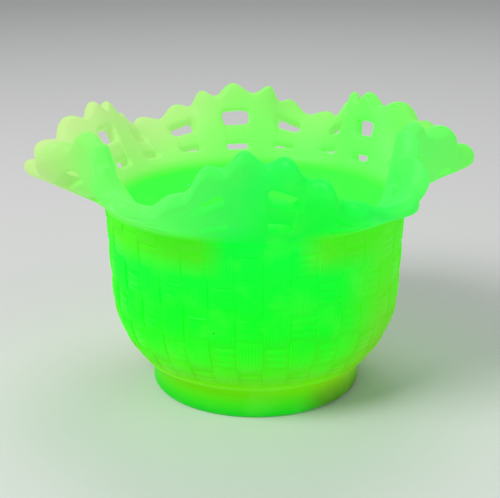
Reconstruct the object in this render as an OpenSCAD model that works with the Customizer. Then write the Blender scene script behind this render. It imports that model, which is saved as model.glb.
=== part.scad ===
// Footed basket-weave bowl with a crimped openwork border, pressed glass.
// Millimetres, +Z up, origin on the table under the middle of the foot.
// Angles run anticlockwise from above and start at the front, which is -Y.

/* [Foot] */
// Diameter of the foot where it joins the bowl
foot_d = 72; // [66:0.2:76]
// How far the widest part of the foot, just above the table, stands out beyond its top
foot_flare = 1.3; // [0.5:0.1:3]
// Height of the foot
foot_h = 10.5; // [8:0.5:14]
// Height of the widest part of the foot above the table
foot_bulge_z = 2; // [1.5:0.1:3]
// Radius of the two rounded edges that stand on the table
foot_edge = 1.2; // [0.4:0.1:1.4]
// Thickness of the foot's wall at its top, round the hollow under the bowl
foot_wall = 4; // [3:0.1:6]

/* [Bowl] */
// Height of the bowl from the top of the foot to the mouth
bowl_h = 56.5; // [48:0.5:70]
// Outside diameter where the belly curve ends and the side begins
belly_d = 102.6; // [96:0.2:112]
// How far the mouth stands out beyond the belly
side_flare = 1.3; // [0:0.1:4]
// Height above the foot at which the belly curve ends
belly_h = 27.5; // [24:0.5:30]
// Radius of the belly curve
belly_round = 37.4; // [35:0.2:42]
// Height of the plain cove between the foot and the belly curve
cove_h = 1.5; // [0.5:0.1:2.5]
// Thickness of the glass in the side and in the border
wall_t = 5; // [4:0.1:6]
// Thickness of the glass in the floor
floor_t = 6; // [4:0.5:8]
// Height of the inside floor above the top of the foot
floor_rise = 2; // [1:0.5:3.5]

/* [Basket weave] */
// Height above the foot at which the weave starts
weave_start = 3.2; // [2.8:0.1:6]
// Depth of the raised cells
weave_t = 0.9; // [0.5:0.1:1.5]
// Depth of the grooves between the bold ribs of a banded cell
groove_t = 0.7; // [0.2:0.1:0.8]
// Height of a banded cell
band_h = 7.5; // [6:0.5:9]
// Height of one bold rib
rib_h = 2.5; // [1.5:0.1:3]
// Height of the middle of the first row above the start of the weave
row_start = 2.3; // [1:0.1:6]
// Rows of banded cells above the first one; the last is cut off by the mouth
rows = 5; // [4:1:5]
// Height above the mouth at which the middle of the last row would be
row_cut = 2; // [0:0.1:3]
// Rounding at the ends of a cell with upright ribs
cell_edge = 0.4; // [0.1:0.1:0.5]
// Width of the seam between two columns of the weave
seam_w = 0.5; // [0.3:0.1:1.5]

/* [Lace border] */
// Number of stakes, and of columns of holes between them
stakes = 18; // [12:1:20]
// Length of the border along the glass, from the mouth to the tip of a scallop
lace_l = 28.6; // [26:0.1:34]
// Length of the bend between the bowl and the border
bend_l = 1; // [0.5:0.5:4]
// Depth of the notches between the scallops
scallop_depth = 3.7; // [1:0.1:5]
// Height of the rounded sill under a lower hole
sill_h = 4.6; // [1:0.1:5]
// Height of a lower hole
lower_hole_h = 2.2; // [1.5:0.1:3]
// Height of the bar between a lower and an upper hole
strand_h = 6.6; // [5:0.1:8]
// Height of an upper hole
upper_hole_h = 5.2; // [4:0.1:6.5]
// Width of the holes, measured around the mouth
hole_w = 7.7; // [6:0.1:10]
// How far the bars lie back from the faces of the stakes
strand_inset = 0.4; // [0:0.1:1]
// Rounding of the bars' edges
strand_round = 1.8; // [0.5:0.1:1.9]
// How much thicker a scallop is in its middle than the wall
scallop_swell = 0.4; // [0:0.1:1]
// How much thinner the glass is at a notch than the wall
notch_thin = 0.2; // [0:0.1:2]

/* [Crimps] */
// Angles of the six crests, where the border stands up
crest_at = [1.5, 66.5, 132.5, 187.5, 246.5, 302.5]; // [0:0.5:359.5]
// How far each crest leans out from upright
crest_lean = [23, 9.5, 13.5, 18.5, 36, 18]; // [4:0.5:40]
// How much the hot glass was drawn out at each crest, in percent
crest_stretch = [18, 11, 8, 9.5, 15.5, 3]; // [-20:0.5:20]
// How far the tips at each crest are pushed round, in degrees
crest_slide = [-0.4, -0.1, 3.4, -0.6, -5.3, -4.1]; // [-6:0.1:6]
// How far the tips beside each crest are spread away from it, in degrees
crest_spread = [1, 0.3, -0.1, 3, -1.4, 3.1]; // [-2:0.1:6]
// Angles of the six troughs, where the border lies over
trough_at = [37, 99.5, 160.5, 221, 280.5, 332.5]; // [0:0.5:359.5]
// How far each trough leans out from upright
trough_lean = [65, 68.5, 53.5, 52.5, 68.5, 61]; // [50:0.5:84]
// How much the hot glass was drawn out at each trough, in percent
trough_stretch = [-13, -3, -13, -14, 6.5, -12]; // [-20:0.5:20]
// How far the tips at each trough are pushed round, in degrees
trough_slide = [1.6, 4.5, -2.2, 3, -4.8, -0.9]; // [-6:0.1:6]
// How far the tips beside each trough are spread away from it, in degrees
trough_spread = [2.9, 5, 0.7, 0.9, -1.2, 1.3]; // [-2:0.1:6]
// How much of its thickness the glass keeps on the steep side of a crimp
flank_fill = 2.5; // [0.5:0.1:3]
// Turn of the whole pattern about the bowl's axis
lattice_turn = -2.3; // [-5:0.1:5]

/* [Hidden] */
$fn = 96;

FOOT_GREEN = [0.36, 0.90, 0.16];
BOWL_GREEN = [0.20, 0.98, 0.20];
WEAVE_GREEN = [0.26, 0.96, 0.16];
LACE_GREEN = [0.48, 0.98, 0.40];

// Bowl
foot_r = foot_d / 2;
recess_r = foot_r - foot_wall;
recess_z = foot_h + floor_rise - floor_t;
floor_z = foot_h + floor_rise;
mouth_z = foot_h + bowl_h;
belly_r = belly_d / 2;
mouth_r = belly_r + side_flare;
belly_z = foot_h + belly_h;
belly_x = belly_r - belly_round;
weave_z = foot_h + weave_start;
cove_z = foot_h + cove_h;
edge_steps = 4;
belly_steps = 8;

// Weave
columns = 2 * stakes;
column_a = 360 / columns;
seam_a = seam_w / mouth_r * 180 / PI;
row_pitch = (mouth_z + row_cut - weave_z - row_start) / rows;

// Lace
hole_a = hole_w / mouth_r * 180 / PI;
stake_a = 2 * column_a - hole_a;
strand_s = sill_h + lower_hole_h;
band_s = strand_s + strand_h + upper_hole_h;
notch_s = lace_l - scallop_depth;
bend_rows = 3;
stake_rows = 5;
stake_steps = 6;
hole_steps = 6;
bar_steps = 3;
sill_steps = 6;
edge_turns = 4;

// Crests and troughs in turn, as [angle, lean, stretch, slide, spread], closed with the first crest again
WAVES = [
    for (i = [0 : len(crest_at) - 1]) each [
        [crest_at[i], crest_lean[i], crest_stretch[i], crest_slide[i], crest_spread[i]],
        [trough_at[i], trough_lean[i], trough_stretch[i], trough_slide[i], trough_spread[i]]
    ],
    [crest_at[0] + 360, crest_lean[0], crest_stretch[0], crest_slide[0], crest_spread[0]]
];

// ---- Profile of the bowl ----

// Outside of the bowl as [height, radius] pairs, from the foot to the mouth
belly_from = asin((belly_z - cove_z) / belly_round);
OUTSIDE = [
    [foot_h, foot_r],
    for (i = [0 : belly_steps])
        let (t = belly_from * (1 - i / belly_steps))
            [belly_z - belly_round * sin(t), belly_x + belly_round * cos(t)],
    [mouth_z, mouth_r]
];

// Inside of the bowl as [height, radius] pairs, from the floor to the mouth
inner_from = asin((belly_z - floor_z) / (belly_round - wall_t));
INSIDE = [
    for (i = [0 : belly_steps])
        let (t = inner_from * (1 - i / belly_steps))
            [belly_z - (belly_round - wall_t) * sin(t), belly_x + (belly_round - wall_t) * cos(t)],
    [mouth_z, mouth_r - wall_t]
];

function outside_r(z) = lookup(z, OUTSIDE);

// Heights from one level to another, with every corner of the outside between them
function levels(from, to) = [from, for (p = OUTSIDE) if (p[0] > from && p[0] < to) p[0], to];

// The outside of the smooth shell, behind the weave
function shell_side(from, to) = [for (z = levels(from, to)) [outside_r(z) - weave_t, z]];

function backwards(list) = [for (i = [len(list) - 1 : -1 : 0]) list[i]];

// ---- Cells of the weave ----

function row_z(i) = weave_z + row_start + i * row_pitch;

// The banded cells of a column, [bottom, top], kept between the start of the weave and the mouth
function bands(parity) = [
    for (i = [0 : rows])
        if (i % 2 == parity)
            [max(row_z(i) - band_h / 2, weave_z), min(row_z(i) + band_h / 2, mouth_z)]
];

// The cells between them
function uprights(parity) =
    let (b = bands(parity))
    let (from = [weave_z, for (c = b) c[1]], to = [for (c = b) c[0], mouth_z])
        [for (i = [0 : len(from) - 1]) if (to[i] - from[i] > rib_h) [from[i], to[i]]];

// Outline of a banded cell: a row of round ribs on the shell
function band_outline(cell) =
    let (ribs = max(1, round((cell[1] - cell[0]) / rib_h)), h = (cell[1] - cell[0]) / ribs)
        [
            each shell_side(cell[0], cell[1]),
            for (i = [ribs - 1 : -1 : 0])
                for (u = [0.9, 0.65, 0.35, 0.1])
                    let (z = cell[0] + (i + u) * h)
                        [outside_r(z) - groove_t * pow(1 - sin(180 * u), 1.5), z]
        ];

// Outline of a cell with upright ribs: a plain pad with eased ends
function upright_outline(cell) =
    let (low = cell[0] + cell_edge, high = cell[1] - cell_edge)
        [
            each shell_side(cell[0], cell[1]),
            [outside_r(cell[1]) - cell_edge, cell[1]],
            for (z = backwards(levels(low, high))) [outside_r(z), z],
            [outside_r(cell[0]) - cell_edge, cell[0]]
        ];

module column_cell(k) {
    rotate([0, 0, -90 + lattice_turn + (k - 0.5) * column_a + seam_a / 2])
        rotate_extrude(angle = column_a - seam_a)
            children();
}

// ---- Sheet of the lace ----

function turned(a) = a - 360 * floor((a - crest_at[0]) / 360);

function wave_at(a) =
    [for (i = [0 : len(WAVES) - 2]) if (turned(a) >= WAVES[i][0] && turned(a) < WAVES[i + 1][0]) i][0];

// How far an angle lies between its crest and its trough, or its trough and its crest, from 0 to 1
function wave_share(a) =
    let (i = wave_at(a)) (turned(a) - WAVES[i][0]) / (WAVES[i + 1][0] - WAVES[i][0]);

// A value of the waves at angle a, carried smoothly from each crest or trough to the next
function wave_value(a, column) =
    let (i = wave_at(a), from = WAVES[i][column], to = WAVES[i + 1][column])
        from + (to - from) * (1 - cos(180 * wave_share(a))) / 2;

function lean(a) = wave_value(a, 1);

function stretch(a) = wave_value(a, 2);

function slide(a) = wave_value(a, 3);

function spread(a) = wave_value(a, 4);

// How far the tips at angle a are carried round from the mouth, in degrees
function carried(a) = slide(a) + spread(a) * sin(360 * wave_share(a));

// Change of the lean along the side of a crimp at angle a, per turn of the glass round the axis
function flank_slope(a) =
    let (
        i = wave_at(a),
        from = WAVES[i],
        to = WAVES[i + 1],
        width = to[0] - from[0],
        drawn = 1 + PI / 2 * (to[3] - from[3]) / width - PI * (from[4] + to[4]) / width
    )
        PI / 2 * (to[1] - from[1]) / width / drawn * sin(180 * wave_share(a));

// The point at angle a, distance s along the border from the mouth, and depth d in from the outside
function sheet(a, s, d) =
    let (
        b = lean(a),
        bend_r = bend_l * 180 / (PI * b),
        t = b * min(s, bend_l) / bend_l,
        straight = max(s - bend_l, 0) * (1 + stretch(a) / 100),
        steep = pow(flank_slope(a) * straight / (mouth_r + straight * sin(b)), 2),
        thicker = sqrt(1 + steep / (1 + steep / flank_fill)),
        inward = wall_t / 2 + (d - wall_t / 2) * thicker,
        r = mouth_r + bend_r * (1 - cos(t)) + straight * sin(b) - inward * cos(t),
        z = mouth_z + bend_r * sin(t) + straight * cos(b) + inward * sin(t),
        around = a + lattice_turn + carried(a) * s / lace_l
    )
        [r * sin(around), -r * cos(around), z];

// Solid over loops of equal length; caps close its ends, and a ring joins its last loop to its first
module skin(loops, ring = false, strip_caps = false) {
    n = len(loops[0]);
    m = len(loops);
    joins = ring ? m : m - 1;
    sides = [
        for (i = [0 : joins - 1], j = [0 : n - 1])
            let (p = i * n, q = (i + 1) % m * n, e = (j + 1) % n)
                each [[p + j, q + j, q + e], [p + j, q + e, p + e]]
    ];
    strip = [for (j = [0 : n / 2 - 2]) each [[j, j + 1, n - 2 - j], [j, n - 2 - j, n - 1 - j]]];
    fan = [for (j = [1 : n - 2]) [0, j, j + 1]];
    cap = strip_caps ? strip : fan;
    first = ring ? [] : cap;
    last = ring ? [] : [for (f = cap) [for (v = backwards(f)) v + (m - 1) * n]];
    polyhedron([for (l = loops) each l], [each sides, each first, each last]);
}

// Angles from one to another in equal steps
function sweep(from, to, steps) = [for (i = [0 : steps]) from + (to - from) * i / steps];

function stake_at(k) = 2 * column_a * k;

function hole_at(k) = stake_at(k) + stake_a / 2;

// Distances along a stake: fine in the bend, then even up to the scalloped edge
stake_levels = [
    each sweep(0, bend_l, bend_rows),
    for (i = [1 : stake_rows]) bend_l + (band_s - bend_l) * i / stake_rows
];

// Section of a bar, as [distance, depth] pairs
strand_section = [
    for (q = [0 : 3], i = [0 : 2])
        let (
            t = q * 90 + i * 45,
            mid_s = strand_s + strand_h / 2,
            mid_d = wall_t / 2,
            half_s = strand_h / 2 - strand_round,
            half_d = mid_d - strand_inset - strand_round,
            side_s = (q == 0 || q == 3) ? 1 : -1,
            side_d = (q == 0 || q == 1) ? 1 : -1
        )
            [mid_s + side_s * half_s + strand_round * cos(t), mid_d + side_d * half_d + strand_round * sin(t)]
];

// Section of a sill: flat on the mouth, round on top
sill_section = [
    for (i = [0 : sill_steps])
        let (t = 180 * i / sill_steps)
            [sill_h * sin(t), wall_t / 2 * (1 - cos(t))]
];

// ---- Scalloped edge ----

// Place within a scallop, from -0.5 at one notch to 0.5 at the next
function scallop_share(a) = a / column_a - round(a / column_a);

// 1 in the middle of a scallop, 0 at a notch
function scallop_wave(a) = (1 + cos(360 * scallop_share(a))) / 2;

function edge_s(a) = notch_s + scallop_depth * scallop_wave(a);

// Change of thickness at the edge: swollen in the middle of a scallop, thin at a notch
function swell(a) = -notch_thin + (scallop_swell + notch_thin) * scallop_wave(a);

// One section of the edge: up the outside, over the round top and down the inside
function edge_loop(a) =
    let (
        top = edge_s(a),
        half = (wall_t + swell(a)) / 2,
        mid = wall_t / 2,
        shoulder = top - half,
        knee = band_s + (shoulder - band_s) * 0.5,
        knee_half = (mid + half) / 2
    )
        [
            sheet(a, band_s, 0),
            sheet(a, knee, mid - knee_half),
            for (i = [0 : edge_turns])
                let (t = 180 * i / edge_turns)
                    sheet(a, shoulder + half * sin(t), mid - half * cos(t)),
            sheet(a, knee, mid + knee_half),
            sheet(a, band_s, wall_t)
        ];

// Angles round the edge, with a loop at both sides of every stake
edge_angles = [
    for (k = [0 : stakes - 1])
        each [
            for (i = [0 : stake_steps - 1]) stake_at(k) + stake_a * (i / stake_steps - 0.5),
            for (i = [0 : hole_steps - 1]) hole_at(k) + hole_a * i / hole_steps
        ]
];

// ---- Pieces ----

module foot_ring() {
    flat_in = recess_r + foot_edge;
    bulge_in = foot_r + foot_flare - foot_bulge_z;
    color(FOOT_GREEN)
        rotate_extrude()
            polygon([
                [recess_r, foot_h],
                for (i = [0 : edge_steps])
                    let (t = 90 * i / edge_steps)
                        [flat_in - foot_edge * cos(t), foot_edge * (1 - sin(t))],
                for (i = [0 : edge_steps])
                    let (t = 90 * (1 - i / edge_steps))
                        [bulge_in + foot_bulge_z * cos(t), foot_bulge_z * (1 - sin(t))],
                [foot_r, foot_h]
            ]);
}

module bowl_floor() {
    color(BOWL_GREEN)
        translate([0, 0, recess_z])
            cylinder(h = floor_t, r = recess_r);
}

module bowl_wall() {
    color(BOWL_GREEN)
        rotate_extrude()
            polygon([
                [recess_r, foot_h],
                for (z = levels(foot_h, weave_z)) [outside_r(z), z],
                each shell_side(weave_z, mouth_z),
                for (p = backwards(INSIDE)) [p[1], p[0]],
                [recess_r, floor_z]
            ]);
}

module weave_bands() {
    color(WEAVE_GREEN)
        for (k = [0 : columns - 1], cell = bands(k % 2))
            column_cell(k)
                polygon(band_outline(cell));
}

module weave_uprights() {
    color(WEAVE_GREEN)
        for (k = [0 : columns - 1], cell = uprights(k % 2))
            column_cell(k)
                polygon(upright_outline(cell));
}

module lace_sills() {
    color(LACE_GREEN)
        for (k = [0 : stakes - 1])
            skin([
                for (a = sweep(hole_at(k), hole_at(k) + hole_a, bar_steps))
                    [for (p = sill_section) sheet(a, p[0], p[1])]
            ]);
}

module lace_stakes() {
    color(LACE_GREEN)
        for (k = [0 : stakes - 1])
            let (around = sweep(stake_at(k) - stake_a / 2, stake_at(k) + stake_a / 2, stake_steps))
                skin([
                    for (s = stake_levels) [
                        for (a = around) sheet(a, s, 0),
                        for (a = backwards(around)) sheet(a, s, wall_t)
                    ]
                ], strip_caps = true);
}

module lace_strands() {
    color(LACE_GREEN)
        for (k = [0 : stakes - 1])
            skin([
                for (a = sweep(hole_at(k), hole_at(k) + hole_a, bar_steps))
                    [for (p = strand_section) sheet(a, p[0], p[1])]
            ]);
}

module scalloped_edge() {
    color(LACE_GREEN)
        skin([for (a = edge_angles) edge_loop(a)], ring = true);
}

foot_ring();
bowl_floor();
bowl_wall();
weave_bands();
weave_uprights();
lace_sills();
lace_stakes();
lace_strands();
scalloped_edge();
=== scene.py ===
"""Footed basket-weave bowl with a crimped openwork border, in glowing uranium glass.

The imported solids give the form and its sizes. Every node gets its finished surface here: a lathed foot,
floor and wall, woven cells with their ribs, and a lace border with round edges along the same crimps.
"""
import math

import bpy
import numpy as np
from mathutils import Euler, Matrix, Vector


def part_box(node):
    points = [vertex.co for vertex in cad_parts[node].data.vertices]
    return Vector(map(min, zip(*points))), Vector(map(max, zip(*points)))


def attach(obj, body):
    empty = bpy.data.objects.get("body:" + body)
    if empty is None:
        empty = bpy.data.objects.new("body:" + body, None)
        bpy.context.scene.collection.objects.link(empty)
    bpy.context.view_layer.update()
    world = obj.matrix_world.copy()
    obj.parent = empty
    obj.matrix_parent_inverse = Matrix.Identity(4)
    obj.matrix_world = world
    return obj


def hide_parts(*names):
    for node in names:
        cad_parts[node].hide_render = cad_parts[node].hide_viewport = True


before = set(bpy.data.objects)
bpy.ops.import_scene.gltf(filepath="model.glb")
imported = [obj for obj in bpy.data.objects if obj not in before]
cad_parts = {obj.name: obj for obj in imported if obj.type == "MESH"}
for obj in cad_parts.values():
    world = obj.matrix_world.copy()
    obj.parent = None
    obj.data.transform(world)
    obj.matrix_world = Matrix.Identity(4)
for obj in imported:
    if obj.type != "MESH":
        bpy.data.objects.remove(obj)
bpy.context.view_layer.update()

MM = 0.001
FULL_TURN = 360.0

# ---- Sizes in millimetres and degrees. Those that the solids' boxes give are read from them ----


def top_of(node):
    """Radius and height of a round node's upper corner"""
    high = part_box(node)[1] / MM
    return high.x, high.z


def foot_of(node):
    """Height of a node's lowest point"""
    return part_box(node)[0].z / MM


# Foot
FOOT_WIDE_R, FOOT_H = top_of("foot_ring")
RECESS_R, FLOOR_Z = top_of("bowl_floor")
RECESS_Z = foot_of("bowl_floor")
FOOT_WALL = 4.0
FOOT_R = RECESS_R + FOOT_WALL
FOOT_BULGE_Z = 2.0
FOOT_EDGE = 1.2
FOOT_FILLET = 1.5

# Bowl
WALL_T = 5.0
WEAVE_T = 0.9
SHELL_R, MOUTH_Z = top_of("bowl_wall")
MOUTH_R = SHELL_R + WEAVE_T
SIDE_FLARE = 1.3
BELLY_R = MOUTH_R - SIDE_FLARE
BELLY_Z = FOOT_H + 27.5
BELLY_ROUND = 37.4
BELLY_X = BELLY_R - BELLY_ROUND
SIDE_H = MOUTH_Z - BELLY_Z
COVE_Z = FOOT_H + 1.5
FLOOR_FILLET = 10.0
FLOOR_CROWN = 0.3

# Step in the wall under the weave: where it starts below the weave, and its corner, in and down
LEDGE_H = 0.3
LEDGE_STEP = (0.15, 0.05)

# Basket weave
COLUMNS = 36
ROWS = 6
WEAVE_Z = foot_of("weave_bands")
ROW_START = 2.3
ROW_CUT = 2.0
ROW_PITCH = (MOUTH_Z + ROW_CUT - WEAVE_Z - ROW_START) / (ROWS - 1)
BAND_H = 7.5
SEAM_W = 0.12
CELL_W = 2 * math.pi * MOUTH_R / COLUMNS
CELL_BEVEL_W = 0.5
CELL_BEVEL_T = 0.22
CELL_LEAST_T = 0.05
CROWN_POWER = 2.6

# Lace border. Places on it are x, around the mouth, s, along the border, and d, in from its outside
STAKES = 18
LACE_L = 28.6
BEND_L = 1.0
SCALLOP_DEPTH = 3.7
SILL_H = 4.6
STRAND_S = SILL_H + 2.2
STRAND_TOP_S = STRAND_S + 6.6
BAND_S = STRAND_TOP_S + 5.2
HOLE_W = 7.7
STRAND_INSET = 0.35
STRAND_STEP = 0.35
SCALLOP_SWELL = 0.4
NOTCH_THIN = 0.2
NOTCH_S = LACE_L - SCALLOP_DEPTH
LOW_CORNER = 0.9
HIGH_CORNER = 1.6
EDGE_ROUND = 2.0
INNER_ROUND = (2.0, 1.3)
OUTER_ROUND = (0.8, 0.6)
STAKE_PITCH = 2 * math.pi * MOUTH_R / STAKES

# Crimps, each as angle, lean out from upright, stretch in percent, slide and spread of its tips in degrees
CRESTS = [
    (1.5, 23, 18, -0.4, 1), (66.5, 9.5, 11, -0.1, 0.3), (132.5, 13.5, 8, 3.4, -0.1),
    (187.5, 18.5, 9.5, -0.6, 3), (246.5, 36, 15.5, -5.3, -1.4), (302.5, 18, 3, -4.1, 3.1),
]
TROUGHS = [
    (37, 65, -13, 1.6, 2.9), (99.5, 68.5, -3, 4.5, 5), (160.5, 53.5, -13, -2.2, 0.7),
    (221, 52.5, -14, 3, 0.9), (280.5, 68.5, 6.5, -4.8, -1.2), (332.5, 61, -12, -0.9, 1.3),
]
LATTICE_TURN = -2.3
FLANK_FILL = 2.5


# Greens of the foot and the bowl, in front and at the sides, by height as a share of 70 mm. In front they
# are a painted pool of glow; at the sides the glow is paler, and low on the bowl and the foot they hold
# painted shade
LIT_FRONT_GREENS = {
    0.02: (0.005, 0.6, 0.012), 0.07: (0.045, 0.69, 0.006), 0.12: (0.13, 0.71, 0.0),
    0.17: (0.165, 0.76, 0.003), 0.25: (0.09, 0.77, 0.008), 0.33: (0.04, 0.94, 0.01),
    0.45: (0.005, 0.96, 0.013), 0.6: (0.0, 0.96, 0.018), 0.75: (0.0, 0.97, 0.03),
    0.93: (0.0, 0.97, 0.045),
}
SIDE_AND_SHADOW_GREENS = {
    0.02: (0.04, 0.16, 0.006), 0.07: (0.1, 0.33, 0.004), 0.12: (0.18, 0.56, 0.001),
    0.17: (0.16, 0.54, 0.004), 0.25: (0.17, 0.6, 0.012), 0.36: (0.14, 0.64, 0.012),
    0.5: (0.11, 0.76, 0.012), 0.7: (0.08, 0.84, 0.012), 0.93: (0.075, 0.86, 0.016),
}
# Greens of the lace, by distance from the middle of a painted pool of glow: deep green inside it, paler
# further out. Distances count less along and up
LACE_GREENS = {
    0.05: (0.005, 0.94, 0.042), 0.15: (0.02, 0.93, 0.08), 0.24: (0.055, 0.93, 0.095),
    0.45: (0.12, 0.93, 0.12), 0.67: (0.15, 0.9, 0.11), 0.79: (0.26, 0.82, 0.14),
    0.85: (0.34, 0.77, 0.17), 1.0: (0.49, 0.74, 0.25),
}
# Direction from the axis to the middle of the painted pool of glow on the bowl
GLOW_POOL_SIDE = (-0.29, -0.957)
# Middle, in mm, and flattening of the painted pool of glow on the lace
GLOW_POOL_MIDDLE = (16, -68, 46)
GLOW_POOL_FLATNESS = (1, 0.61, 0.54)
# Painted shadow of the border's flares on the top of the bowl
RIM_SHADOW_GREEN = (0.065, 0.83, 0.012, 1)
# Painted shade in the weave's grooves
GROOVE_SHADE_GREEN = (0.08, 0.5, 0.0, 1)
INNER_GREEN = (0.06, 0.94, 0.07, 1)


# ---- Node trees ----


class Term:
    """A value in a node tree, on which Python arithmetic adds Math nodes"""

    def __init__(self, graph, socket):
        self.graph = graph
        self.socket = socket

    def __add__(self, other):
        return self.graph.maths("ADD", self, other)

    def __sub__(self, other):
        return self.graph.maths("SUBTRACT", self, other)

    def __rsub__(self, other):
        return self.graph.maths("SUBTRACT", other, self)

    def __mul__(self, other):
        return self.graph.maths("MULTIPLY", self, other)

    def __truediv__(self, other):
        return self.graph.maths("DIVIDE", self, other)

    def __rtruediv__(self, other):
        return self.graph.maths("DIVIDE", other, self)

    def __mod__(self, other):
        return self.graph.maths("FLOORED_MODULO", self, other)

    def __pow__(self, other):
        return self.graph.maths("POWER", self, other)

    __radd__ = __add__
    __rmul__ = __mul__


class Graph:
    """A node tree being built, for a material or for geometry"""

    def __init__(self, tree):
        self.tree = tree

    def node(self, kind, settings=None, sockets=None, out=0):
        """Adds a node: its settings, then its sockets' values or links. Gives the outputs asked for"""
        made = self.tree.nodes.new(kind)
        for name, value in (settings or {}).items():
            if name == "stops":
                lay_stops(made.color_ramp, value)
            else:
                setattr(made, name, value)
        for name, value in (sockets or {}).items():
            if isinstance(value, Term):
                self.tree.links.new(value.socket, made.inputs[name])
            else:
                made.inputs[name].default_value = value
        if isinstance(out, tuple):
            return [Term(self, made.outputs[name]) for name in out]
        return Term(self, made.outputs[out]) if made.outputs else None

    def maths(self, operation, *values):
        return self.node("ShaderNodeMath", {"operation": operation}, dict(enumerate(values)))

    def least(self, *values):
        return self.maths("MINIMUM", *values)

    def most(self, *values):
        return self.maths("MAXIMUM", *values)

    def share(self, value, start, end, ease="LINEAR"):
        """How far a value is from start to end, from 0 to 1"""
        sockets = {"Value": value, "From Min": start, "From Max": end}
        return self.node("ShaderNodeMapRange", {"interpolation_type": ease}, sockets)

    def ramp(self, value, stops):
        return self.node("ShaderNodeValToRGB", {"stops": stops}, {"Fac": value}, "Color")

    def blend(self, share, low, high):
        """Mixes two colours"""
        return self.node("ShaderNodeMix", {"data_type": "RGBA"}, {0: share, 6: low, 7: high}, 2)

    def coordinates(self, vector):
        return self.node("ShaderNodeSeparateXYZ", {}, {0: vector}, ("X", "Y", "Z"))

    def place(self, x, y, z):
        return self.node("ShaderNodeCombineXYZ", {}, {0: x, 1: y, 2: z})


def lay_stops(ramp, stops):
    """Sets a colour ramp's stops, given as {place: colour}"""
    while len(ramp.elements) < len(stops):
        ramp.elements.new(0.5)
    for element, (place, colour) in zip(ramp.elements, sorted(stops.items())):
        element.position = place
        element.color = (*colour, 1)


def geometry_graph(name, inputs):
    """A geometry tree with a named input for each of {name: socket type}, and the terms of its inputs"""
    tree = bpy.data.node_groups.new(name, "GeometryNodeTree")
    tree.interface.new_socket("Unit", in_out="INPUT", socket_type="NodeSocketGeometry")
    for socket, kind in inputs.items():
        tree.interface.new_socket(socket, in_out="INPUT", socket_type="NodeSocket" + kind)
    tree.interface.new_socket("Result", in_out="OUTPUT", socket_type="NodeSocketGeometry")
    graph = Graph(tree)
    names = ("Unit", *inputs)
    return graph, dict(zip(names, graph.node("NodeGroupInput", out=names)))


def finish_tree(graph, geometry, material):
    """Ends a geometry tree with real meshes in their material"""
    real = graph.node("GeometryNodeRealizeInstances", {}, {"Geometry": geometry})
    dressed = graph.node("GeometryNodeSetMaterial", {}, {"Geometry": real, "Material": material})
    graph.node("NodeGroupOutput", {}, {0: dressed})
    return graph.tree


def grown(name, unit, tree, values):
    """A plain mesh object: the unit mesh put through a geometry tree, with values for its named inputs"""
    worker = bpy.data.objects.new(name + "_unit", unit)
    bpy.context.scene.collection.objects.link(worker)
    modifier = worker.modifiers.new("grow", "NODES")
    modifier.node_group = tree
    for item in tree.interface.items_tree:
        if item.in_out == "INPUT" and item.name in values:
            modifier[item.identifier] = values[item.name]
    evaluated = worker.evaluated_get(bpy.context.evaluated_depsgraph_get())
    mesh = bpy.data.meshes.new_from_object(evaluated)
    worker.modifiers.remove(modifier)
    bpy.data.objects.remove(worker)
    bpy.data.meshes.remove(unit)
    mesh.name = name
    piece = bpy.data.objects.new(name, mesh)
    bpy.context.scene.collection.objects.link(piece)
    return piece


# ---- Meshes ----


def closed_mesh(name, points, faces, hidden, unit=1.0):
    """A mesh with doubled points welded and collapsed faces dropped. hidden marks the faces in a joint"""
    places, index = np.unique(np.round(points, 4), axis=0, return_inverse=True)
    places = places * unit
    index = index.ravel()
    kept = []
    marks = []
    for face, mark in zip(faces, hidden):
        corners = [int(index[c]) for c in face]
        corners = [c for i, c in enumerate(corners) if c != corners[i - 1]]
        if len(set(corners)) > 2:
            kept.append(corners)
            marks.append(mark)
    mesh = bpy.data.meshes.new(name)
    mesh.from_pydata(places.tolist(), [], kept)
    mesh.attributes.new("joint", "BOOLEAN", "FACE").data.foreach_set("value", marks)
    mesh.polygons.foreach_set("use_smooth", [True] * len(kept))
    return mesh


def smooth(share):
    """Eases a share in and out, within 0 and 1"""
    share = np.clip(share, 0, 1)
    return share * share * (3 - 2 * share)


def eased(width, steps):
    """Steps over a round edge of this width, closest together where it is steepest"""
    return [width * (1 - math.cos(math.pi / 2 * i / steps)) for i in range(steps + 1)]


def arc(centre, radius, start, end, steps):
    """Points on an arc, as [r, z], between two angles from +r"""
    turns = np.radians(np.linspace(start, end, steps + 1))
    return [(centre[0] + radius * math.cos(t), centre[1] + radius * math.sin(t)) for t in turns]


# ---- Foot, floor and wall, turned round the bowl's axis ----

LATHE_STEPS = 8 * COLUMNS
# How near a joint the middle of a face in it lies
TOUCH = 0.01


def lathe(name, profile, joints):
    """Turns a closed profile of [r, z] points, run anticlockwise. joints tell which faces meet others"""
    turns = np.radians(np.arange(LATHE_STEPS) * FULL_TURN / LATHE_STEPS)
    profile = np.array(profile)
    r, z = profile[:, 0], profile[:, 1]
    x = np.outer(np.sin(turns), r)
    y = -np.outer(np.cos(turns), r)
    points = np.stack([x, y, np.tile(z, (LATHE_STEPS, 1))], -1)
    count = len(profile)
    faces = []
    hidden = []
    for i in range(LATHE_STEPS):
        here, there = i * count, (i + 1) % LATHE_STEPS * count
        for j in range(count):
            k = (j + 1) % count
            faces.append((here + j, there + j, there + k, here + k))
            middle = (profile[j] + profile[k]) / 2
            hidden.append(any(joint(*middle) for joint in joints))
    mesh = closed_mesh(name, points.reshape(-1, 3), faces, hidden, MM)
    piece = bpy.data.objects.new(name, mesh)
    bpy.context.scene.collection.objects.link(piece)
    return piece


def outside_r(z):
    """Outer radius of the bowl at a height, above the cove"""
    low = min(z, BELLY_Z)
    flare = max(z - BELLY_Z, 0) * SIDE_FLARE / SIDE_H
    return BELLY_X + math.sqrt(BELLY_ROUND**2 - (BELLY_Z - low) ** 2) + flare


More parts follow.
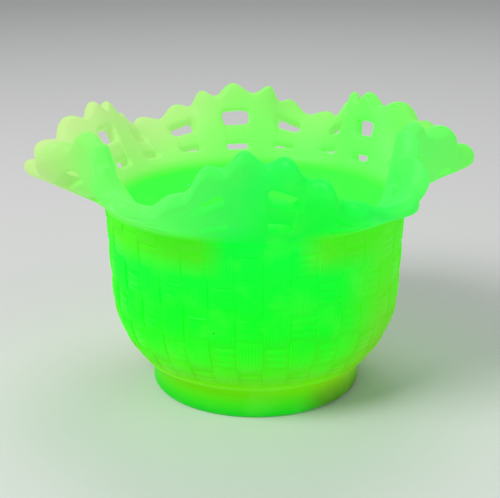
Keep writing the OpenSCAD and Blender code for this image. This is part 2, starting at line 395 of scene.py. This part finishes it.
def waist(u):
    """A place on the foot's waist, from its bulge at 0 to its top at 1"""
    flare = (FOOT_WIDE_R - FOOT_R) * (1 + math.cos(math.pi * u)) / 2
    return FOOT_R + flare, FOOT_BULGE_Z + u * (FOOT_H - FOOT_BULGE_Z)


def foot_ring():
    """The foot: round where it stands, a soft waist, and the hollow inside it"""
    low_in = (RECESS_R + FOOT_EDGE, FOOT_EDGE)
    low_out = (FOOT_WIDE_R - FOOT_BULGE_Z, FOOT_BULGE_Z)
    profile = [
        *arc(low_in, FOOT_EDGE, 180, 270, 8),
        *arc(low_out, FOOT_BULGE_Z, 270, 360, 10),
        *(waist(u) for u in np.linspace(0, 1, 13)[1:]),
        (RECESS_R, FOOT_H),
        (RECESS_R, RECESS_Z),
        (RECESS_R, RECESS_Z - FOOT_FILLET),
    ]
    joints = [
        lambda r, z: z > FOOT_H - TOUCH,
        lambda r, z: r < RECESS_R + TOUCH and z > RECESS_Z - FOOT_FILLET,
    ]
    return lathe("turned_foot", profile, joints)


def inner_fillet():
    """Centre of the fillet between floor and wall, and the angles of its ends at the wall and the floor"""
    inner = BELLY_ROUND - WALL_T
    drop = BELLY_Z - FLOOR_Z - FLOOR_FILLET
    centre = (BELLY_X + math.sqrt((inner - FLOOR_FILLET) ** 2 - drop**2), FLOOR_Z + FLOOR_FILLET)
    at_wall = 360 - math.degrees(math.asin(drop / (inner - FLOOR_FILLET)))
    at_floor = 360 - math.degrees(math.acos((RECESS_R - centre[0]) / FLOOR_FILLET))
    return centre, at_wall, at_floor


def bowl_floor():
    """The disc that closes the bowl, faintly crowned inside and filleted to the foot below"""
    centre, _, at_floor = inner_fillet()
    flat_r = centre[0]
    below = [(r, RECESS_Z) for r in np.linspace(0, RECESS_R - FOOT_FILLET, 12)]
    under = arc((RECESS_R - FOOT_FILLET, RECESS_Z - FOOT_FILLET), FOOT_FILLET, 90, 0, 6)
    rim = arc(centre, FLOOR_FILLET, 270, at_floor, 2)
    inward = np.linspace(flat_r, 0, 22)
    crown = [(r, FLOOR_Z + FLOOR_CROWN * (1 - (r / flat_r) ** 2) ** 2) for r in inward]
    profile = [*below, *under[1:], *reversed(rim[1:]), *crown]
    return lathe("turned_floor", profile, [lambda r, z: r > RECESS_R - TOUCH])


def bowl_wall():
    """The smooth shell behind the weave"""
    centre, at_wall, at_floor = inner_fillet()
    low_from = -math.degrees(math.asin((BELLY_Z - COVE_Z) / BELLY_ROUND))
    belly = arc((BELLY_X, BELLY_Z), BELLY_ROUND, low_from, 0, 60)
    shell = [(outside_r(z) - WEAVE_T, z) for z in np.linspace(WEAVE_Z, MOUTH_Z, 60)]
    inside_top = [
        (MOUTH_R - WALL_T - SIDE_FLARE * smooth(u), MOUTH_Z - u * SIDE_H) for u in np.linspace(0, 1, 30)
    ]
    profile = [
        (RECESS_R, FOOT_H),
        (FOOT_R, FOOT_H),
        *(place for place in belly if place[1] < WEAVE_Z - LEDGE_H),
        (outside_r(WEAVE_Z) - LEDGE_STEP[0], WEAVE_Z - LEDGE_STEP[1]),
        *shell,
        *inside_top,
        *arc((BELLY_X, BELLY_Z), BELLY_ROUND - WALL_T, 0, at_wall - 360, 36)[1:],
        *arc(centre, FLOOR_FILLET, at_wall, at_floor, 8)[1:],
    ]
    joints = [
        lambda r, z: z > MOUTH_Z - TOUCH,
        lambda r, z: r < RECESS_R + TOUCH and z < FLOOR_Z + FLOOR_CROWN,
        lambda r, z: r < FOOT_R - TOUCH and z < FOOT_H + TOUCH,
    ]
    return lathe("turned_wall", profile, joints)


# ---- Basket weave ----


def cell_unit(across, up):
    """A closed block from 0 to 1 each way, with a grid for its front, at y = 0, and a plain back"""
    x = np.linspace(0, 1, across + 1)
    z = np.linspace(0, 1, up + 1)
    wide = across + 1
    front = [(u, 0.0, v) for v in z for u in x]
    faces = [
        (j * wide + i, j * wide + i + 1, (j + 1) * wide + i + 1, (j + 1) * wide + i)
        for j in range(up)
        for i in range(across)
    ]
    ring = [
        *range(across),
        *(j * wide + across for j in range(up)),
        *(up * wide + i for i in range(across, 0, -1)),
        *(j * wide for j in range(up, 0, -1)),
    ]
    back = len(front)
    points = front + [(front[i][0], 1.0, front[i][2]) for i in ring]
    count = len(ring)
    skirt = [(ring[i], back + i, back + (i + 1) % count, ring[(i + 1) % count]) for i in range(count)]
    low = [back + i for i in range(across + 1)]
    right = [back + across + j for j in range(up + 1)]
    high = [back + across + up + i for i in range(across + 1)]
    left = [back + (2 * across + up + j) % count for j in range(up + 1)]
    bars = [(right[j], left[up - j], left[up - j - 1], right[j + 1]) for j in range(1, up - 1)]
    ends = [(*reversed(low), left[up - 1], right[1]), (*reversed(high), right[up - 1], left[1])]
    every = faces + skirt + bars + ends
    return closed_mesh("cell", np.array(points), every, [False] * len(every))


def weave_tree():
    """Lays cells round the bowl in rows, with ribs, crowns and soft borders, on the bowl's own profile"""
    graph, given = geometry_graph(
        "Basket Weave",
        {
            "Glass": "Material", "Columns": "Int", "Rows": "Int", "Odd": "Float", "Half Height": "Float",
            "Ribs Across": "Float", "Ribs Up": "Float", "Groove": "Float", "Crown Across": "Float",
            "Crown Up": "Float", "Relief": "Float", "Seam": "Float",
        },
    )
    slots = graph.node(
        "GeometryNodeMeshLine",
        {"mode": "OFFSET"},
        {"Count": given["Columns"] * given["Rows"], "Offset": (0, 0, 0)},
    )
    index = graph.node("GeometryNodeInputIndex")
    column = index % given["Columns"]
    row = graph.maths("FLOOR", index / given["Columns"])
    middle = WEAVE_Z + ROW_START + row * ROW_PITCH
    facts = {
        "column": column,
        "low": graph.most(middle - given["Half Height"], WEAVE_Z),
        "high": graph.least(middle + given["Half Height"], MOUTH_Z),
    }
    for name, value in facts.items():
        stored = {"Geometry": slots, "Name": name, "Value": value}
        slots = graph.node("GeometryNodeStoreNamedAttribute", {}, stored)
    wanted = (column + row + given["Odd"] + 1) % 2
    laid = {"Points": slots, "Selection": wanted, "Instance": given["Unit"]}
    cells = graph.node("GeometryNodeInstanceOnPoints", {}, laid)
    cells = graph.node("GeometryNodeRealizeInstances", {}, {"Geometry": cells})
    reader = "GeometryNodeInputNamedAttribute"
    column, low, high = (graph.node(reader, {}, {"Name": name}) for name in facts)

    u, back, v = graph.coordinates(graph.node("GeometryNodeInputPosition"))
    z = low + (high - low) * v
    off_u = graph.maths("ABSOLUTE", u * 2 - 1)
    off_v = graph.maths("ABSOLUTE", v * 2 - 1)
    rib_u = 1 - graph.maths("ABSOLUTE", graph.maths("SINE", u * given["Ribs Across"] * math.pi))
    rib_v = 1 - graph.maths("ABSOLUTE", graph.maths("SINE", v * given["Ribs Up"] * math.pi))
    from_side = (1 - off_u) * (CELL_W / 2)
    from_end = (1 - off_v) * (high - low) / 2
    bevel = 1 - graph.share(graph.least(from_side, from_end), 0.0, CELL_BEVEL_W, "SMOOTHSTEP")
    dip = (rib_u + rib_v) * given["Groove"]
    dip = dip + off_u**CROWN_POWER * given["Crown Across"] + off_v**CROWN_POWER * given["Crown Up"]
    dip = graph.least(dip + bevel * CELL_BEVEL_T, given["Relief"] - CELL_LEAST_T)
    low_z = graph.least(z, BELLY_Z)
    flare = graph.most(z - BELLY_Z, 0.0) * (SIDE_FLARE / SIDE_H)
    outside = BELLY_X + graph.maths("SQRT", BELLY_ROUND**2 - (BELLY_Z - low_z) ** 2.0) + flare
    radius = outside - dip + back * (dip - given["Relief"])
    seam = given["Seam"] / MOUTH_R * (0.5 - u)
    turn = (column + u - 0.5) * (2 * math.pi / COLUMNS) + seam + math.radians(LATTICE_TURN)
    across = radius * graph.maths("SINE", turn)
    along = radius * graph.maths("COSINE", turn)
    spot = graph.place(across * MM, along * -MM, z * MM)
    cells = graph.node("GeometryNodeSetPosition", {}, {"Geometry": cells, "Position": spot})
    for name in facts:
        cells = graph.node("GeometryNodeRemoveAttribute", {}, {"Geometry": cells, "Name": name})
    return finish_tree(graph, cells, given["Glass"])


def weave_bands(tree, glass):
    """Raised cells with three bold ribs across"""
    values = {
        "Glass": glass, "Columns": COLUMNS, "Rows": ROWS, "Odd": 0.0,
        "Half Height": BAND_H / 2, "Ribs Across": 0.5, "Ribs Up": 3.0, "Groove": 0.3,
        "Crown Across": 0.35, "Crown Up": 0.2, "Relief": WEAVE_T, "Seam": SEAM_W,
    }
    return grown("woven_bands", cell_unit(14, 24), tree, values)


def weave_uprights(tree, glass):
    """The cells between them, with fine upright ribs"""
    values = {
        "Glass": glass, "Columns": COLUMNS, "Rows": ROWS, "Odd": 1.0,
        "Half Height": ROW_PITCH - BAND_H / 2, "Ribs Across": 8.0, "Ribs Up": 0.5, "Groove": 0.2,
        "Crown Across": 0.1, "Crown Up": 0.6, "Relief": WEAVE_T, "Seam": SEAM_W,
    }
    return grown("woven_uprights", cell_unit(48, 10), tree, values)


# ---- Lace border, first flat ----


def corner_rise(x, corner):
    """How far a bar reaches past its own edge, into the round corner of a hole"""
    return corner - math.sqrt(corner**2 - min(max(corner - HOLE_W / 2 + abs(x), 0), corner) ** 2)


def scallop_wave(x):
    """1 in the middle of a scallop, 0 at a notch"""
    return (1 + np.cos(2 * np.pi * x / (STAKE_PITCH / 2))) / 2


def scallop_half(wave):
    """Half of the thickness of a scallop: swollen in its middle, thin at a notch"""
    return (WALL_T - NOTCH_THIN + (SCALLOP_SWELL + NOTCH_THIN) * wave) / 2


def rounded(gap, width):
    """Height of a quarter circle of this width, as a share, at a gap from its edge"""
    return np.sqrt(np.maximum(1 - (1 - np.clip(gap / width, 0, 1)) ** 2, 0))


def gap_to_hole(x, s, low, high, corner):
    """Distance from a hole with round corners"""
    across = np.abs(x) - (HOLE_W / 2 - corner)
    along = np.abs(s - (low + high) / 2) - ((high - low) / 2 - corner)
    outside = np.hypot(np.maximum(across, 0), np.maximum(along, 0))
    return outside + np.minimum(np.maximum(across, along), 0) - corner


HOLES = ((SILL_H, STRAND_S, LOW_CORNER), (STRAND_TOP_S, BAND_S, HIGH_CORNER))
HOLE_TOUCH = 0.03


def skin(x, s, inside):
    """How far the glass reaches from the middle of the wall, at places given from the middle of a hole"""
    full = WALL_T / 2
    wave = scallop_wave(x)
    swollen = scallop_half(wave)
    shoulder = NOTCH_S + SCALLOP_DEPTH * wave - swollen
    reach = full + (swollen - full) * smooth((s - BAND_S) / (shoulder - BAND_S))
    over = np.clip((s - shoulder) / swollen, 0, 1)
    reach = reach * np.sqrt(1 - over**2)
    strand = (s > STRAND_S - LOW_CORNER) & (s < STRAND_TOP_S + HIGH_CORNER)
    recess = STRAND_INSET * smooth((HOLE_W / 2 - np.abs(x)) / STRAND_STEP)
    reach = reach - np.where(strand, recess, 0)
    width, height = INNER_ROUND if inside else OUTER_ROUND
    for low, high, corner in HOLES:
        reach = reach - height * (1 - rounded(gap_to_hole(x, s, low, high, corner), width))
    return reach


def from_hole(x):
    """Distance of a place around the mouth from the middle of the nearest hole"""
    shifted = x - STAKE_PITCH / 2
    return shifted - STAKE_PITCH * np.round(shifted / STAKE_PITCH)


def beside_hole(point):
    """Whether a place lies on the edge of a hole"""
    x = from_hole(point[0])
    return min(gap_to_hole(x, point[2], *hole) for hole in HOLES) < HOLE_TOUCH


def slab(name, columns, rows, open_sides=False):
    """A closed flat piece of lace over columns around the mouth. rows gives each column's rows up"""
    grid = np.array([[(x, s) for s in rows(float(from_hole(x)))] for x in columns])
    wide, tall = grid.shape[:2]
    places = from_hole(grid[:, :, 0]), grid[:, :, 1]
    depths = (WALL_T / 2 - skin(*places, False), WALL_T / 2 + skin(*places, True))
    sheets = [np.stack([grid[:, :, 0], depth, grid[:, :, 1]], -1) for depth in depths]
    points = np.concatenate([sheet.reshape(-1, 3) for sheet in sheets])
    back = wide * tall
    faces = []
    for i in range(wide - 1):
        for j in range(tall - 1):
            corner = i * tall + j
            quad = (corner, corner + tall, corner + tall + 1, corner + 1)
            faces.append(quad)
            faces.append(tuple(back + c for c in reversed(quad)))
    border = [[i * tall for i in range(wide)], [i * tall + tall - 1 for i in reversed(range(wide))]]
    if not open_sides:
        border.append([(wide - 1) * tall + j for j in range(tall)])
        border.append(list(reversed(range(tall))))
    walls = [(b, a, back + a, back + b) for line in border for a, b in zip(line, line[1:])]
    hidden = [not beside_hole((points[a] + points[b]) / 2) for b, a, _, _ in walls]
    return closed_mesh(name, points, faces + walls, [False] * len(faces) + hidden)


def mirrored(half, middle):
    """Places on both sides of a middle, from those of one side"""
    return [middle - t for t in half] + [middle] + [middle + t for t in reversed(half)]


STAKE_HALF = (STAKE_PITCH - HOLE_W) / 2
NOTCH_IN = STAKE_PITCH / 4 - HOLE_W / 2
# Columns of the grids, by their distance in from a hole's side, closest together at the round edges
HOLE_STEPS = (*eased(HIGH_CORNER, 5), 2.4, 3.2)
STAKE_STEPS = (0, 0.12, NOTCH_IN, 0.8, 1.25, 1.8, EDGE_ROUND, 3.3, 4.2)
HOLE_COLUMNS = mirrored([HOLE_W / 2 - t for t in HOLE_STEPS], STAKE_PITCH / 2)
STAKE_COLUMNS = mirrored([STAKE_HALF - t for t in STAKE_STEPS], 0)
RIGHT_HALF = [x for x in STAKE_COLUMNS if x >= 0]
RING_COLUMNS = RIGHT_HALF + HOLE_COLUMNS[1:-1] + [STAKE_PITCH - x for x in reversed(RIGHT_HALF)]


def sill_rows(x):
    """Up a sill, from the mouth to its round top"""
    top = SILL_H + corner_rise(x, LOW_CORNER)
    bend = [BEND_L * t for t in (0, 0.25, 0.5, 0.75, 1)]
    return bend + [top - t for t in reversed(eased(EDGE_ROUND, 7))]


def strand_rows(x):
    """Up a bar, between its two round edges"""
    low = STRAND_S - corner_rise(x, LOW_CORNER)
    high = STRAND_TOP_S + corner_rise(x, HIGH_CORNER)
    rise = eased(EDGE_ROUND, 6)
    middle = [low + EDGE_ROUND + (high - low - 2 * EDGE_ROUND) * t for t in (0.33, 0.67)]
    return [low + t for t in rise] + middle + [high - t for t in reversed(rise)]


def edge_rows(x):
    """From the top of the upper holes over the round edge of a scallop"""
    low = BAND_S - corner_rise(x, HIGH_CORNER)
    half = float(scallop_half(scallop_wave(x)))
    shoulder = NOTCH_S + SCALLOP_DEPTH * float(scallop_wave(x)) - half
    rise = [low + t for t in eased(EDGE_ROUND, 6)]
    middle = [rise[-1] + (shoulder - rise[-1]) * t for t in (0.25, 0.5, 0.75)]
    return rise + middle + [shoulder + half * math.sin(math.pi / 2 * t / 8) for t in range(9)]


def stake_rows(_):
    """Up a stake: the rows of the bars beside it, and even ones beside the upper holes"""
    strand, edge = strand_rows(HOLE_W / 2), edge_rows(HOLE_W / 2)
    return [*sill_rows(HOLE_W / 2), *strand, *np.linspace(strand[-1], edge[0], 5)[1:]]


# ---- Lace border, crimped ----


def flank_slope(here, there):
    """Change of lean per turn halfway along the side of a crimp, both in radians"""
    width = there[0] - here[0]
    drawn = 1 + math.pi / 2 * (there[3] - here[3]) / width - math.pi * (here[4] + there[4]) / width
    return math.pi / 2 * (there[1] - here[1]) / width / drawn


def crimp_tree():
    """Repeats a flat unit of lace round the mouth, bends it out and waves it into crests and troughs"""
    graph, given = geometry_graph(
        "Crimped Lace",
        {
            "Glass": "Material", "Copies": "Int", "Pitch": "Float", "Mouth Radius": "Float",
            "Mouth Height": "Float", "Bend Length": "Float", "Border Length": "Float", "Turn": "Float",
        },
    )
    mouth_r, bend_l = given["Mouth Radius"], given["Bend Length"]
    line = graph.node(
        "GeometryNodeMeshLine",
        {"mode": "OFFSET"},
        {"Count": given["Copies"], "Offset": graph.place(given["Pitch"], 0.0, 0.0)},
    )
    units = graph.node("GeometryNodeInstanceOnPoints", {}, {"Points": line, "Instance": given["Unit"]})
    units = graph.node("GeometryNodeRealizeInstances", {}, {"Geometry": units})
    x, depth, reach = graph.coordinates(graph.node("GeometryNodeInputPosition"))

    waves = [wave for pair in zip(CRESTS, TROUGHS) for wave in pair]
    start = waves[0][0]
    waves.append((start + FULL_TURN, *waves[0][1:]))
    angle = x / mouth_r * math.degrees(1)
    from_crest = (angle - start) % FULL_TURN
    lean, stretch, slide, spread = waves[0][1:]
    aside = 0.0
    slope = 0.0
    for here, there in zip(waves, waves[1:]):
        phase = graph.share(from_crest, float(here[0] - start), float(there[0] - start)) * math.pi
        ease = (1 - graph.maths("COSINE", phase)) / 2
        lean = lean + ease * (there[1] - here[1])
        stretch = stretch + ease * (there[2] - here[2])
        slide = slide + ease * (there[3] - here[3])
        spread = spread + ease * (there[4] - here[4])
        aside = aside + graph.maths("SINE", phase * 2)
        slope = slope + graph.maths("SINE", phase) * flank_slope(here, there)
    lean = lean * math.radians(1)

    bend_r = bend_l / lean
    turn = lean * graph.least(reach, bend_l) / bend_l
    cos_turn = graph.maths("COSINE", turn)
    sin_turn = graph.maths("SINE", turn)
    straight = graph.most(reach - bend_l, 0.0) * (1 + stretch / 100)
    out = straight * graph.maths("SINE", lean)
    up = straight * graph.maths("COSINE", lean)
    steep = (slope * straight / (mouth_r + out)) ** 2
    thicker = (1 + steep / (1 + steep / FLANK_FILL)) ** 0.5
    depth = WALL_T / 2 + (depth - WALL_T / 2) * thicker
    radius = mouth_r + bend_r * (1 - cos_turn) + out - depth * cos_turn
    height = given["Mouth Height"] + bend_r * sin_turn + up + depth * sin_turn
    drift = (slide + spread * aside) * reach / given["Border Length"]
    around = (angle + given["Turn"] + drift) * math.radians(1)
    across = radius * graph.maths("SINE", around)
    along = radius * graph.maths("COSINE", around)
    spot = graph.place(across * MM, along * -MM, height * MM)
    laced = graph.node("GeometryNodeSetPosition", {}, {"Geometry": units, "Position": spot})
    laced = graph.node("GeometryNodeMergeByDistance", {}, {"Geometry": laced, "Distance": 0.005 * MM})
    return finish_tree(graph, laced, given["Glass"])


def lace(glass):
    """The four named parts of the border"""
    tree = crimp_tree()
    values = {
        "Glass": glass, "Copies": STAKES, "Pitch": STAKE_PITCH, "Mouth Radius": MOUTH_R,
        "Mouth Height": MOUTH_Z, "Bend Length": BEND_L, "Border Length": LACE_L, "Turn": LATTICE_TURN,
    }
    units = {
        "border_stakes": slab("stake", STAKE_COLUMNS, stake_rows),
        "border_sills": slab("sill", HOLE_COLUMNS, sill_rows),
        "border_strands": slab("strand", HOLE_COLUMNS, strand_rows),
        "border_scallops": slab("edge", RING_COLUMNS, edge_rows, open_sides=True),
    }
    return [grown(name, unit, tree, values) for name, unit in units.items()]


# ---- One unbroken surface over the joints ----


def numbers(collection, name, count, kind=float):
    """A mesh's own values as an array, with count of them in each row"""
    values = np.zeros(len(collection) * count, kind)
    collection.foreach_get(name, values)
    return values.reshape(-1, count) if count > 1 else values


def share_normals(pieces, crease):
    """Gives pieces that meet the normals of one unbroken surface, so that no joint shows between them"""
    places, faces, owners = [], [], []
    base = 0
    for number, piece in enumerate(pieces):
        mesh = piece.data
        joint = numbers(mesh.attributes["joint"].data, "value", 1, bool)
        places.append(numbers(mesh.vertices, "co", 3))
        for polygon in mesh.polygons:
            if not joint[polygon.index]:
                faces.append([base + v for v in polygon.vertices])
                owners.append((number, polygon.loop_start))
        base += len(mesh.vertices)
    spots, index = np.unique(np.round(np.concatenate(places), 7), axis=0, return_inverse=True)
    index = index.ravel()
    whole = bpy.data.meshes.new("whole")
    whole.from_pydata(spots.tolist(), [], [[int(index[v]) for v in face] for face in faces])
    whole.polygons.foreach_set("use_smooth", [True] * len(faces))
    whole.set_sharp_from_angle(angle=math.radians(crease))
    corners = numbers(whole.corner_normals, "vector", 3)
    height = spots[numbers(whole.loops, "vertex_index", 1, int)][:, 2]
    upright = (np.abs(height - MOUTH_Z * MM) < 1e-6) & (np.abs(corners[:, 2]) < 0.9)
    corners[upright, 2] = 0
    corners /= np.linalg.norm(corners, axis=1)[:, None]
    own = []
    for piece in pieces:
        flat = numbers(piece.data.polygons, "normal", 3)
        own.append(np.repeat(flat, numbers(piece.data.polygons, "loop_total", 1, int), axis=0))
    at = 0
    for face, (number, start) in zip(faces, owners):
        own[number][start : start + len(face)] = corners[at : at + len(face)]
        at += len(face)
    for piece, normals in zip(pieces, own):
        piece.data.normals_split_custom_set(normals)
        piece.data.attributes.remove(piece.data.attributes["joint"])
    bpy.data.meshes.remove(whole)


# ---- Glass ----


def body_green(graph, x, y, z):
    """The foot and the bowl: deepest in front in a painted pool of glow, yellower at the sides and below
    with painted shade, painted shadow under the border and painted shade in the grooves
    """
    radius = graph.maths("SQRT", x * x + y * y)
    # Painted shadow: low on the foot, its right side is turned out of the pool of glow into the side
    # greens
    foot_shadow_turn = x * graph.share(z, 14.0, 6.0) * 0.35
    in_glow_pool = (x * GLOW_POOL_SIDE[0] + y * GLOW_POOL_SIDE[1] - foot_shadow_turn) / radius
    height = graph.share(z, 0.0, 70.0)
    near = graph.ramp(height, LIT_FRONT_GREENS)
    aside = graph.ramp(height, SIDE_AND_SHADOW_GREENS)
    # Painted light: the pool of glow in front, fading into the side greens
    green = graph.blend(graph.share(in_glow_pool, 0.72, 0.25, "SMOOTHSTEP"), near, aside)
    # Painted shadow under the border's flares, high on the bowl beyond 11 to 20 mm from its middle plane
    rim_shadow = graph.share(graph.maths("ABSOLUTE", x - 2), 11.0, 20.0) * graph.share(z, 54.0, 61.0)
    green = graph.blend(rim_shadow, green, RIM_SHADOW_GREEN)

    below = graph.least(z, BELLY_Z) - BELLY_Z
    weave_r = BELLY_X + graph.maths("SQRT", BELLY_ROUND**2 - below * below)
    weave_r = weave_r + graph.share(z, float(BELLY_Z), float(MOUTH_Z)) * SIDE_FLARE
    # Painted shade in the weave's grooves, stronger lower on the bowl
    groove_shade = graph.share(weave_r - radius, 0.1, 0.5) * graph.share(z, 13.4, 14.0)
    green = graph.blend(groove_shade * (graph.share(z, 42.0, 24.0) * 0.19 + 0.03), green, GROOVE_SHADE_GREEN)
    inside = graph.share(radius - weave_r, -2.0, -3.0) * graph.share(z, 72.0, 66.0)
    return graph.blend(inside * graph.share(z, 8.0, 10.0), green, INNER_GREEN)


def lace_green(graph, *place):
    """The border: paler with the distance from the middle of the painted pool of glow"""
    offsets = zip(place, GLOW_POOL_MIDDLE, GLOW_POOL_FLATNESS)
    across, along, up = (((value - middle) * flatness) ** 2.0 for value, middle, flatness in offsets)
    distance = graph.maths("SQRT", across + along + up)
    # Painted light: a pool of glow, deep green in its middle and paler outward
    return graph.ramp(graph.share(distance, 15.0, 100.0), LACE_GREENS)


def clouded(graph, place, green):
    """Faint yellow clouds in the glass, a few fine dark specks, and a few painted glints as bluish specks
    """
    cloud = graph.node("ShaderNodeTexNoise", {}, {"Vector": place, "Scale": 90.0, "Detail": 3.0}, "Fac")
    green = graph.blend(graph.share(cloud, 0.5, 0.75) * 0.12, green, (0.2, 0.95, 0.08, 1))
    cell = graph.node("ShaderNodeTexVoronoi", {}, {"Vector": place, "Scale": 150.0}, ("Distance", "Color"))
    luck = graph.node("ShaderNodeSeparateColor", {}, {"Color": cell[1]}, ("Red", "Green"))
    dot = graph.share(cell[0], 0.055, 0.03)
    green = graph.blend(dot * graph.share(luck[0], 0.93, 0.935), green, (0.02, 0.3, 0.05, 1))
    # Painted glints: a few bluish specks
    return graph.blend(dot * graph.share(luck[1], 0.97, 0.975), green, (0.1, 1.0, 0.7, 1))


def uranium_glass(name):
    """Satin glass that glows green, a little uneven on its surface"""
    material = bpy.data.materials.new(name)
    material.use_nodes = True
    material.node_tree.nodes.clear()
    graph = Graph(material.node_tree)
    place = graph.node("ShaderNodeTexCoord", out="Object")
    x, y, z = (value / MM for value in graph.coordinates(place))
    border = graph.share(z, 66.0, 72.0, "SMOOTHSTEP")
    green = graph.blend(border, body_green(graph, x, y, z), lace_green(graph, x, y, z))
    green = clouded(graph, place, green)

    grain = graph.node("ShaderNodeTexNoise", {}, {"Vector": place, "Scale": 700.0, "Detail": 4.0}, "Fac")
    sag = graph.node("ShaderNodeTexNoise", {}, {"Vector": place, "Scale": 160.0, "Detail": 1.0}, "Fac")
    uneven = {"Strength": 0.35, "Distance": 0.15 * MM, "Height": sag + grain * 0.2}
    glass = graph.node(
        "ShaderNodeBsdfPrincipled",
        {},
        {
            "Base Color": graph.blend(0.6, green, (0, 0, 0, 1)), "Roughness": grain * 0.2 + 0.34,
            # Painted glow: the glass lights itself with its greens as emission, where its real glow needs
            # ultraviolet light
            "Emission Color": green, "Emission Strength": 0.72, "IOR": 1.5, "Specular IOR Level": 0.12,
            "Sheen Weight": 0.03, "Sheen Roughness": 0.35, "Sheen Tint": (0.7, 1.0, 0.3, 1),
            "Normal": graph.node("ShaderNodeBump", {}, uneven, "Normal"),
        },
        "BSDF",
    )
    graph.node("ShaderNodeOutputMaterial", {}, {"Surface": glass})
    return material


# ---- Stage ----

BOWL_MIDDLE = (0, 0, 0.06)
CAMERA_AT = (0.0, -0.3901, 0.1767)
CAMERA_TILT = (71.78, -0.30, 0.28)
CAMERA_LENS = 82.94


def camera():
    """Looks down a little on the front of the bowl"""
    made = bpy.data.objects.new("camera", bpy.data.cameras.new("camera"))
    made.data.lens = CAMERA_LENS
    made.data.sensor_width = 36
    made.data.clip_start = 0.01
    made.location = CAMERA_AT
    tilt, roll, yaw = (math.radians(angle) for angle in CAMERA_TILT)
    aside = Euler((0, 0, yaw)).to_matrix()
    down = Euler((tilt, 0, 0)).to_matrix()
    level = Euler((0, 0, roll)).to_matrix()
    made.rotation_euler = (aside @ down @ level).to_euler()
    bpy.context.scene.collection.objects.link(made)
    bpy.context.scene.camera = made


def lamp(name, at, size, watts):
    """A soft round lamp that shines on the middle of the bowl"""
    made = bpy.data.objects.new(name, bpy.data.lights.new(name, "AREA"))
    made.data.shape = "DISK"
    made.data.size = size
    made.data.energy = watts
    made.location = at
    made.rotation_euler = (Vector(BOWL_MIDDLE) - Vector(at)).to_track_quat("-Z", "Y").to_euler()
    bpy.context.scene.collection.objects.link(made)


def studio():
    """A pale floor that runs out to a pale surround, and soft lamps"""
    bpy.ops.mesh.primitive_plane_add(size=6)
    floor = bpy.context.object
    floor.name = "floor"
    paint = bpy.data.materials.new("pale_floor")
    paint.use_nodes = True
    paint.node_tree.nodes.clear()
    graph = Graph(paint.node_tree)
    matt = {"Base Color": (0.62, 0.62, 0.61, 1), "Roughness": 0.9}
    surface = graph.node("ShaderNodeBsdfPrincipled", {}, matt, "BSDF")
    graph.node("ShaderNodeOutputMaterial", {}, {"Surface": surface})
    floor.data.materials.append(paint)
    world = bpy.data.worlds.new("studio")
    bpy.context.scene.world = world
    world.use_nodes = True
    world.node_tree.nodes.clear()
    graph = Graph(world.node_tree)
    air = {"Color": (0.9, 0.92, 0.95, 1), "Strength": 0.35}
    around = graph.node("ShaderNodeBackground", {}, air, "Background")
    graph.node("ShaderNodeOutputWorld", {}, {"Surface": around})
    lamp("key", (-0.65, -0.55, 0.9), 0.6, 11)
    lamp("fill", (0.8, -0.6, 0.6), 0.8, 2)
    lamp("top", (0.1, 0.5, 1.1), 0.7, 4)


# ---- The bowl ----

# Each piece's solid and material slot
PLACES = {
    "turned_foot": ("foot_ring", "foot_glass"),
    "turned_floor": ("bowl_floor", "bowl_glass"),
    "turned_wall": ("bowl_wall", "bowl_glass"),
    "border_stakes": ("lace_stakes", "lace_glass"),
    "border_sills": ("lace_sills", "lace_glass"),
    "border_strands": ("lace_strands", "lace_glass"),
    "border_scallops": ("scalloped_edge", "lace_glass"),
    "woven_bands": ("weave_bands", "weave_glass"),
    "woven_uprights": ("weave_uprights", "weave_glass"),
}
TURNED_CREASE = 50
WOVEN_CREASE = 60


def own(piece, node, slot, glass):
    """Puts a finished piece in place of its solid: gives it the glass, hangs it under the root body and
    hides the solid. The slot is not used
    """
    piece.data.materials.clear()
    piece.data.materials.append(glass)
    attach(piece, "root")
    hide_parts(node)


bpy.context.scene.view_settings.view_transform = "Standard"
glass = uranium_glass("uranium_glass")
turned = [foot_ring(), bowl_floor(), bowl_wall()]
laced = lace(glass)
share_normals(turned + laced, TURNED_CREASE)
tree = weave_tree()
woven = [weave_bands(tree, glass), weave_uprights(tree, glass)]
for piece in woven:
    piece.data.attributes.remove(piece.data.attributes["joint"])
    piece.data.set_sharp_from_angle(angle=math.radians(WOVEN_CREASE))
for piece in turned + laced + woven:
    node, slot = PLACES[piece.name]
    own(piece, node, slot, glass)
camera()
studio()
